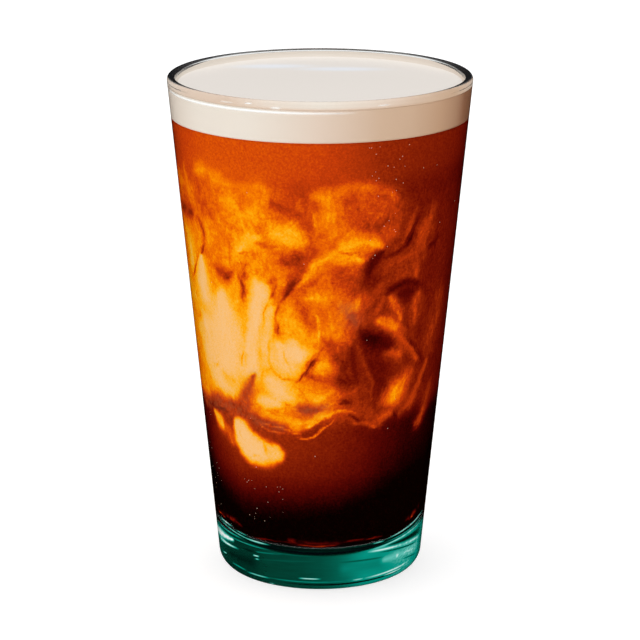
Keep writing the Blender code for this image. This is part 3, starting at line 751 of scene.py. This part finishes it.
def backdrop(bearing, mm):
    """Tone of the coffee where no cloud is near: three bands round the drink, blended by height."""
    # painted shade: each band is darker towards the right, away from the light, and towards the far edges
    upper_turns = (-95, -82, -70, -50, -20, 0, 12, 25, 45, 65, 80, 92)
    upper_tones = (0.75, 0.54, 0.47, 0.42, 0.43, 0.455, 0.51, 0.59, 0.64, 0.68, 0.74, 0.84)
    upper = np.interp(bearing, upper_turns, upper_tones)
    upper = upper + np.interp(mm, (118, 124, 128, 137), (0.05, 0.045, 0.01, 0))
    middle_turns = (-90, -60, -20, 10, 25, 45, 65, 90)
    middle = np.interp(bearing, middle_turns, (0.3, 0.25, 0.3, 0.42, 0.6, 0.66, 0.69, 0.78))
    lower_turns = (-95, -80, -66, -48, -20, 5, 20, 35, 50, 70, 95)
    lower_tones = (0.92, 0.82, 0.68, 0.57, 0.59, 0.635, 0.7, 0.79, 0.87, 0.91, 1.0)
    lower = np.interp(bearing, lower_turns, lower_tones)
    darker = np.interp(mm, (12, 17, 21, 26, 31, 37, 44, 52), (0.5, 0.48, 0.43, 0.32, 0.19, 0.07, 0.02, 0))
    lower = np.minimum(1.0, lower + darker)
    to_upper = smooth_step(mm, 112, 122)
    to_middle = smooth_step(mm, 50, 58)
    return lower * (1 - to_middle) + (middle * (1 - to_upper) + upper * to_upper) * to_middle


def cloud_tone(bearing, mm, r, noise):
    """Tone and haze at each point: the backdrop, then every stroke in turn, streaked along its path.

    noise(size in mm, seed) pushes the strokes about. The back repeats the front's clouds in a mirror,
    pushed about much further and without the finest strokes.
    """
    def push(*seeds):
        """Noise of four sizes, in mm: the coarsest is the strongest."""
        octaves = ((0.6, 7), (0.45, 3.0), (0.22, 1.3), (0.1, 0.6))
        return sum(strength * noise(size, seed) for (strength, size), seed in zip(octaves, seeds))

    behind = np.clip((np.abs(bearing) - 84) / 30, 0, 1)
    calm = np.clip((mm - 16) / 10, 0.1, 1)
    sideways = push(1, 2, 3, 17) * calm + behind * 11 * noise(20, 7)
    upwards = push(4, 5, 6, 18) * calm
    upwards = upwards + (behind * 11 * noise(20, 8) - behind * 4) * np.clip((mm - 16) / 20, 0, 1)
    turn = to_front(bearing) + np.degrees(sideways / r)
    up = mm + upwards
    tone = backdrop(turn, mm + upwards * 0.5)
    for number, (level, soft, *path) in enumerate(CLOUDS):
        path = smooth_path(path)
        left, lowest, _ = path.min(axis=0)
        right, highest, widest = path.max(axis=0)
        reach = widest * 2.6 + 0.3
        round_reach = np.degrees(reach / MIDDLE_R)
        beside = (turn > left - round_reach) & (turn < right + round_reach)
        near = np.flatnonzero(beside & (up > lowest - reach) & (up < highest + reach))
        if not len(near):
            continue
        cover, along, across = stroke(turn[near], up[near], r[near], path, soft)
        wide = min(widest, 3.0)
        own = np.full(len(near), number * 1.7)
        streaks = lattice_noise(along / 4, across / (0.3 + 0.25 * wide), own, 9)
        if wide < THIN:
            cover = cover * np.clip(0.78 + 1.1 * streaks, 0.3, 1)
        if wide < FINEST:
            cover = cover * (1 - behind[near])
        strength = 0.04 * wide ** 0.5 * min(1.0, 0.3 + level * 3)
        tone[near] += (level + strength * streaks - tone[near]) * cover
    haze = np.zeros(len(tone))
    for path in HAZE:
        haze = np.maximum(haze, stroke(turn, up, r, smooth_path(path), 1.0)[0])
    return tone, haze


def cream_in_coffee(bearing, mm, r):
    """Tone, haze and curdling at each point: the clouds, with ridged noise along a swirling flow."""
    x = np.cos(np.radians(bearing)) * r
    y = np.sin(np.radians(bearing)) * r

    def noise(size, seed, place=(x, y, mm), tall=1.0):
        """Noise of patches this many mm wide, and taller by a factor."""
        return lattice_noise(place[0] / size, place[1] / size, place[2] / (size * tall), seed)

    tone, haze = cloud_tone(bearing, mm, r, noise)
    starts = ((x, 21), (y, 23), (mm, 25))
    flow = [v + 3.0 * noise(8, seed) + 1.2 * noise(3.5, seed + 1) for v, seed in starts]
    curl = 1 - 2.2 * np.abs(noise(2.4, 11, flow, 3.0))
    fine = 1 - 2.2 * np.abs(noise(1.1, 12, flow, 2.5))
    broad = noise(5, 13, flow, 1.6)
    mixed = np.clip((tone - 0.1) / 0.14, 0, 1) * np.clip((0.78 - tone) / 0.2, 0, 1)
    in_clouds = np.clip((mm - 46) / 6, 0, 1) * np.clip((127 - mm) / 6, 0, 1)
    tone = tone + in_clouds * (0.3 + 0.7 * mixed) * (0.04 * curl + 0.03 * fine + 0.035 * broad)
    mottle = np.clip(0.6 + 0.8 * noise(0.7, 15) + 0.5 * noise(2.2, 16), 0, 1)
    return np.clip(tone, 0, 1), 0.6 * haze * mottle, in_clouds * (0.1 + 0.9 * mixed)


def linear(rgb):
    """A display colour of 0 to 255 as linear light: v / 12.92 if dark, else ((v + 0.055) / 1.055) ^ 2.4."""
    v = np.array(rgb) / 255
    return np.where(v <= 0.04045, v / 12.92, ((v + 0.055) / 1.055) ** 2.4)


def wall_noise(tree, size_mm, detail, twist, strong):
    """Noise in a material, from -strong/2 to strong/2: patches size_mm wide, drawn into curls by twist."""
    place = tree.nodes.new("ShaderNodeTexCoord")
    noise = tree.nodes.new("ShaderNodeTexNoise")
    noise.inputs["Scale"].default_value = 1000.0 / size_mm
    noise.inputs["Detail"].default_value = detail
    noise.inputs["Roughness"].default_value = 0.6
    noise.inputs["Distortion"].default_value = twist
    tree.links.new(place.outputs["Object"], noise.inputs["Vector"])
    spread = tree.nodes.new("ShaderNodeMapRange")
    spread.clamp = False
    spread.inputs["To Min"].default_value = -strong / 2
    spread.inputs["To Max"].default_value = strong / 2
    tree.links.new(noise.outputs["Fac"], spread.inputs["Value"])
    return spread.outputs["Result"]


# the skin's points are close together at the front, where the clouds are, and wide apart at the back
front_turns = np.linspace(-78, 78, 285)
flank_turns = np.linspace(78, 118, 34)[1:]
rear_turns = np.linspace(118, 242, 56)[1:-1]
coffee_turns = np.concatenate((-flank_turns[::-1], front_turns, flank_turns, rear_turns))
coffee_bottom = inside_bottom(INTO_WALL, 15)
top_r = inner_r(COFFEE_TOP, INTO_WALL)
side_z = np.concatenate((np.linspace(coffee_bottom[-1, 1], CLOUDS_FROM, 18)[1:],
                         np.linspace(CLOUDS_FROM, CLOUDS_TO, 173)[1:],
                         np.linspace(CLOUDS_TO, COFFEE_TOP, 11)[1:]))
side = np.stack((inner_r(side_z, INTO_WALL), side_z), axis=1)
lid = np.stack((top_r * np.array((0.97, 0.6, 0.0)), np.full(3, COFFEE_TOP)), axis=1)
coffee_profile = np.concatenate((coffee_bottom, side, lid))
coffee = turned("coffee_and_cream", coffee_profile, np.radians(coffee_turns))
co, radius, around = points_of(coffee)
tone, haze, curdle = cream_in_coffee(around, co[:, 2], np.maximum(radius, 1.0))
paint(coffee, tone=tone, haze=haze, curdle=curdle)

# the range of the drink's colours, as display colours of 0 to 255
COFFEE_TONES = (
    (0.0, (248, 193, 128)),
    (0.06, (249, 188, 112)),
    (0.12, (250, 180, 70)),
    (0.18, (254, 172, 18)),
    (0.24, (252, 150, 2)),
    (0.31, (243, 118, 2)),
    (0.38, (228, 92, 5)),
    (0.46, (200, 62, 10)),
    (0.54, (166, 48, 9)),
    (0.62, (136, 34, 6)),
    (0.7, (109, 18, 4)),
    (0.78, (83, 7, 3)),
    (0.86, (54, 3, 2)),
    (0.93, (26, 1, 1)),
    (1.0, (5, 1, 0)),
)
DIMMED = 0.92  # the light on the skin is a little stronger than white
HAZE_BROWN = (0.34, 0.07, 0.022)
coffee_mat, tree, shader = new_material("coffee_and_cream", {"Roughness": 0.6, "Specular IOR Level": 0.0})
# fine curdling where cream and coffee mix, and a grain over everything
curdling = wall_noise(tree, 1.8, 6.0, 1.4, 0.18)
grain = wall_noise(tree, 0.6, 2.0, 0.0, 0.2)
curdled = calculate(tree, "MULTIPLY_ADD", curdling, painted(tree, "curdle"), painted(tree, "tone"))
grained = calculate(tree, "ADD", curdled, grain)
drink = ramp(tree, grained, [(position, DIMMED * linear(rgb)) for position, rgb in COFFEE_TONES])
tree.links.new(blend(tree, painted(tree, "haze"), drink, HAZE_BROWN), shader.inputs["Base Color"])
coffee.data.materials.append(coffee_mat)
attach(coffee, "root")
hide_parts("coffee")

# --- The foam -------------------------------------------------------------------------------------
# A head of very fine cream bubbles that floats on the coffee: nearly level, and turned down where it
# meets the wall. Its right side is tan to brown, partly coffee stain and partly painted shade, and its
# underside is brown from the coffee.
FOAM_TOP = 0.1472
FOAM_DOME = 0.0004  # how much higher the middle is than the edge
FOAM_EDGE_R = 0.0008
edge_z = FOAM_TOP - FOAM_DOME - FOAM_EDGE_R
edge_r = inner_r(edge_z, INTO_WALL) - FOAM_EDGE_R / math.cos(INNER_SLOPE)
dome_r = (edge_r ** 2 + FOAM_DOME ** 2) / (2 * FOAM_DOME)
dome_lean = math.asin(edge_r / dome_r)
under = np.stack((top_r * np.array((0.0, 0.5, 0.97)), np.full(3, COFFEE_TOP)), axis=1)
foam_side_z = np.linspace(COFFEE_TOP, edge_z, 20)[:-1]
foam_side = np.stack((inner_r(foam_side_z, INTO_WALL), foam_side_z), axis=1)
foam_edge = arc(edge_r, edge_z, FOAM_EDGE_R, -INNER_SLOPE, math.pi / 2 - dome_lean, 8)
foam_dome = arc(0.0, FOAM_TOP - dome_r, dome_r, math.pi / 2 - dome_lean, math.pi / 2, 30)
foam_profile = np.concatenate((under, foam_side, foam_edge, foam_dome[1:]))
foam = turned("foam_head", foam_profile, round_angles)

# painted reflection: a window's faint blue sheen painted on the wet top, in two patches: (x, y, half
# length, half width in mm)
SHEENS = ((-14, 23, 10, 3.2), (6, 18, 11, 3.0))
EDGE_BAND = 1.2  # mm; the top's edge is tinted too, at the front: coffee stain and painted shade, seen through the lip
ABOVE_EDGE = 0.5  # mm; the top begins this far up the edge's rounding
WET_BAND = 0.2  # mm; the foam just over the coffee is darker
co, radius, around = points_of(foam)
# coffee stain and painted shade round the foam: darker and browner towards the right, away from the light
steeped_turns = (-180, -120, -80, -64, -53, -28, -15, 0, 12, 24, 37, 53, 65, 72, 90, 130, 180)
steeped_by = (0.3, 0.3, 0.21, 0.15, 0.1, 0.1, 0.19, 0.33, 0.44, 0.55, 0.61, 0.78, 0.88, 1.0, 1.0, 0.6, 0.3)
steeped = np.interp(around, steeped_turns, steeped_by)
at_edge = np.clip((radius - (edge_r * 1000 - EDGE_BAND)) / EDGE_BAND, 0, 1)
on_top = co[:, 2] > edge_z * 1000 + ABOVE_EDGE
in_front = np.clip((85 - np.abs(around)) / 20, 0, 1)
steeped = np.where(on_top, at_edge * in_front * (0.15 + 0.8 * steeped), steeped)
at_coffee = co[:, 2] < COFFEE_TOP * 1000 + WET_BAND
steeped = np.where(at_coffee, np.minimum(steeped + 0.14, 1), steeped)
sheen = np.zeros(len(co))
for x, y, half_long, half_wide in SHEENS:
    distance = ((co[:, 0] - x) / half_long) ** 2 + ((co[:, 1] - y) / half_wide) ** 2
    sheen = np.maximum(sheen, np.exp(-0.7 * distance ** 1.5))
paint(foam, steeped=steeped, sheen=np.where(on_top, sheen, 0))

# cream to coffee brown, in linear light
FOAM_TONES = (
    (0.0, (0.92, 0.86, 0.80)),
    (0.1, (0.79, 0.71, 0.62)),
    (0.32, (0.73, 0.58, 0.47)),
    (0.55, (0.60, 0.41, 0.28)),
    (0.78, (0.49, 0.29, 0.17)),
    (1.0, (0.27, 0.11, 0.05)),
)
WINDOW_BLUE = (0.93, 0.95, 1.0)
foam_mat, tree, shader = new_material("cream_foam", {"Roughness": 0.35})
cream = ramp(tree, painted(tree, "steeped"), FOAM_TONES)
tree.links.new(blend(tree, painted(tree, "sheen"), cream, WINDOW_BLUE), shader.inputs["Base Color"])
foam.data.materials.append(foam_mat)
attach(foam, "root")
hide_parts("foam")

# --- The film of foam on the wall -----------------------------------------------------------------
# Foam clings to the wall above the head in a thin hollow fillet: cream above, stained with coffee at its
# foot. It is lower at the left and the right. Its tan is stronger towards the left and right of the front,
# most at the right: coffee stain and painted shade together.
FILM_THIN = 0.00012  # thickness at the top
FILM_FILLET = 0.0016  # how much thicker it is at its foot
FILM_SUNK = 0.0004  # how far its foot is under the top of the foam's edge
FILM_INTO_WALL = 0.0001
FILM_TURNS = 288
FILM_ROWS = 7
film_high_turns = (-180, -130, -100, -66, -28, 28, 66, 100, 130, 180)
film_highs = (148.3, 148.3, 147.3, 147.3, 148.2, 148.2, 147.3, 147.3, 148.3, 148.3)
film_angles = np.linspace(-math.pi, math.pi, FILM_TURNS, endpoint=False)
film_bearing = np.degrees(film_angles)
film_top = np.interp(film_bearing, film_high_turns, film_highs) / 1000
film_foot = edge_z + FOAM_EDGE_R - FILM_SUNK
film_grid = np.empty((2 * FILM_ROWS, FILM_TURNS, 3))
for row in range(FILM_ROWS):
    share = row / (FILM_ROWS - 1)
    z = film_foot + (film_top - film_foot) * share
    free_r = inner_r(z) - (FILM_THIN + FILM_FILLET * (1 - share) ** 3)
    for at_row, r in ((row, free_r), (2 * FILM_ROWS - 1 - row, inner_r(z, FILM_INTO_WALL))):
        film_grid[at_row] = np.stack((r * np.sin(film_angles), -r * np.cos(film_angles), z), axis=1)
i = np.arange(FILM_TURNS)
j = np.roll(i, -1)
row = np.arange(2 * FILM_ROWS)[:, None] * FILM_TURNS
next_row = np.roll(row, -1)
film_faces = np.stack((row + i, next_row + i, next_row + j, row + j), axis=-1).reshape(-1, 4)
film = new_piece("foam_film", film_grid.reshape(-1, 3).tolist(), film_faces.tolist())
film_stain_and_shade_turns = (-180, -90, -60, -37, -20, 0, 20, 37, 60, 90, 180)
film_stains_and_shade = (0.09, 0.12, 0.35, 0.4, 0.2, 0.1, 0.25, 0.45, 0.6, 0.2, 0.09)
film_stain_and_shade = np.interp(film_bearing, film_stain_and_shade_turns, film_stains_and_shade)
foot_turns = (-180, -100, -75, 0, 60, 75, 100, 180)
foot_stain_and_shade = np.interp(film_bearing, foot_turns, (0.09, 0.12, 0.4, 0.45, 0.6, 0.5, 0.12, 0.09))
row_share = np.concatenate((np.linspace(0, 1, FILM_ROWS), np.linspace(1, 0, FILM_ROWS)))[:, None]
at_foot = np.clip(1 - row_share / 0.45, 0, 1)
paint(film, steeped=(film_stain_and_shade + (foot_stain_and_shade - film_stain_and_shade) * at_foot).ravel())
film.data.materials.append(foam_mat)
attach(film, "root")

# --- The bubbles ----------------------------------------------------------------------------------
# Small gas bubbles that cling to the inside of the wall: a column of them at the upper right, a cluster
# low at the left, and a few strays. Each is a little ball set half into the drink's skin.
BUBBLE_ZONES = (
    # from, to in degrees, low, high in mm, how many, smallest and largest radius in mm
    (19, 38, 124, 136, 16, 0.07, 0.13),
    (20, 34, 98, 123, 12, 0.07, 0.13),
    (-46, -14, 21, 34, 20, 0.06, 0.12),
    (-80, -66, 20, 50, 16, 0.07, 0.13),
    (-60, 60, 30, 60, 5, 0.07, 0.12),
    (-75, 75, 70, 134, 9, 0.07, 0.12),
)
ball_mesh = bmesh.new()
bmesh.ops.create_icosphere(ball_mesh, subdivisions=2, radius=1.0)
ball_co = np.array([vert.co for vert in ball_mesh.verts])
ball_faces = np.array([[vert.index for vert in face.verts] for face in ball_mesh.faces])
ball_mesh.free()
rng = np.random.default_rng(12)
bubble_co, bubble_faces = [], []
for start, end, low, high, count, smallest, largest in BUBBLE_ZONES:
    for _ in range(count):
        turn = math.radians(rng.uniform(start, end))
        z = rng.uniform(low, high) / 1000
        size = rng.uniform(smallest, largest) / 1000
        r = inner_r(z, INTO_WALL)
        centre = np.array((r * math.sin(turn), -r * math.cos(turn), z))
        bubble_faces.append(ball_faces + len(bubble_co) * len(ball_co))
        bubble_co.append(centre + ball_co * size)
bubbles = new_piece("bubbles", np.concatenate(bubble_co).tolist(), np.concatenate(bubble_faces).tolist())
BUBBLE_TAN = (0.68, 0.53, 0.42, 1.0)
bubble_mat, _, _ = new_material("bubble_skin", {"Base Color": BUBBLE_TAN, "Roughness": 0.3})
bubbles.data.materials.append(bubble_mat)
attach(bubbles, "root")

# --- Table, light and camera ----------------------------------------------------------------------
# A plain pale table under a white sky and one big soft lamp. What is seen through the glass or mirrored
# in it isn't that sky but a studio room, dark at the level and white overhead. The camera has a long lens
# and looks down at the drink a little.
TABLE_HALF = 3.0
TABLE_Z = -0.0003  # just clear of the foot
corners = [(x * TABLE_HALF, y * TABLE_HALF, TABLE_Z) for x, y in ((-1, -1), (1, -1), (1, 1), (-1, 1))]
table = new_piece("table", corners, [(0, 1, 2, 3)])
table_mat, _, _ = new_material("pale_table", {
    "Base Color": (0.99, 0.99, 0.99, 1.0),
    "Roughness": 0.7,
    "Specular IOR Level": 0.1,
    "Emission Color": (1.0, 1.0, 1.0, 1.0),
    "Emission Strength": 0.22,
})
table.data.materials.append(table_mat)
table.visible_glossy = False
table.visible_transmission = False


def fade(tree, value, start, end):
    """The socket of a smooth step of a value, from 0 at start to 1 at end."""
    node = tree.nodes.new("ShaderNodeMapRange")
    node.interpolation_type = "SMOOTHSTEP"
    node.inputs["From Min"].default_value = start
    node.inputs["From Max"].default_value = end
    tree.links.new(value, node.inputs["Value"])
    return node.outputs["Result"]


SKY_STRENGTH = 1.04
ROOM_STRENGTH = 0.9
CARD_LOW = 30.0  # degrees below the level
scene = bpy.context.scene
scene.view_settings.view_transform = "Standard"
world = bpy.data.worlds.new("studio")
scene.world = world
world.use_nodes = True
tree = world.node_tree
where = tree.nodes.new("ShaderNodeTexCoord")
split = tree.nodes.new("ShaderNodeSeparateXYZ")
tree.links.new(where.outputs["Generated"], split.inputs["Vector"])
in_degrees = 180 / math.pi
towards = calculate(tree, "MULTIPLY", split.outputs["Y"], -1.0)
bearing = calculate(tree, "ARCTAN2", split.outputs["X"], towards)
from_front = calculate(tree, "MULTIPLY", calculate(tree, "ABSOLUTE", bearing), in_degrees)
from_back = calculate(tree, "SUBTRACT", 180.0, from_front)
climb = calculate(tree, "MULTIPLY", calculate(tree, "ARCSINE", split.outputs["Z"]), in_degrees)

# a soft-edged white card, 24 degrees wide and 12 high, stands low behind the drink, seen only through glass
rays = tree.nodes.new("ShaderNodeLightPath")
mirrored = rays.outputs["Is Glossy Ray"]
passed = rays.outputs["Is Transmission Ray"]
card_rise = calculate(tree, "ABSOLUTE", calculate(tree, "ADD", climb, CARD_LOW))
card = calculate(tree, "MULTIPLY", fade(tree, from_back, 14.0, 10.0), fade(tree, card_rise, 8.0, 4.0))
card = calculate(tree, "MULTIPLY", card, passed)
overhead = fade(tree, climb, 14.0, 70.0)
room = calculate(tree, "MULTIPLY", calculate(tree, "ADD", overhead, card), ROOM_STRENGTH)
by_glass = calculate(tree, "MAXIMUM", mirrored, passed)
background = tree.nodes["Background"]
tree.links.new(blend(tree, by_glass, (1.0, 1.0, 1.0), room), background.inputs["Color"])
background.inputs["Strength"].default_value = SKY_STRENGTH

LAMP_PLACE = (-0.5, -0.2, 1.3)
LAMP_AIM = (0.0, 0.0, 0.1)
lamp_data = bpy.data.lights.new("overhead", "AREA")
lamp_data.size = 0.9
lamp_data.energy = 1.0
lamp = bpy.data.objects.new("overhead", lamp_data)
lamp.location = LAMP_PLACE
shine = np.array(LAMP_AIM) - np.array(LAMP_PLACE)
shine_flat = math.hypot(shine[0], shine[1])
lamp.rotation_euler = (math.atan2(shine_flat, -shine[2]), 0.0, math.atan2(-shine[0], shine[1]))
lamp.visible_glossy = False
scene.collection.objects.link(lamp)

CAMERA_PLACE = (0.0, -0.8341, 0.3009)
LOOK_DOWN = 15.149  # degrees below the level
camera_data = bpy.data.cameras.new("camera")
camera_data.sensor_width = 36.0
camera_data.lens = 164.1
camera = bpy.data.objects.new("camera", camera_data)
camera.location = CAMERA_PLACE
camera.rotation_euler = (math.radians(90.0 - LOOK_DOWN), 0.0, 0.0)
scene.collection.objects.link(camera)
scene.camera = camera
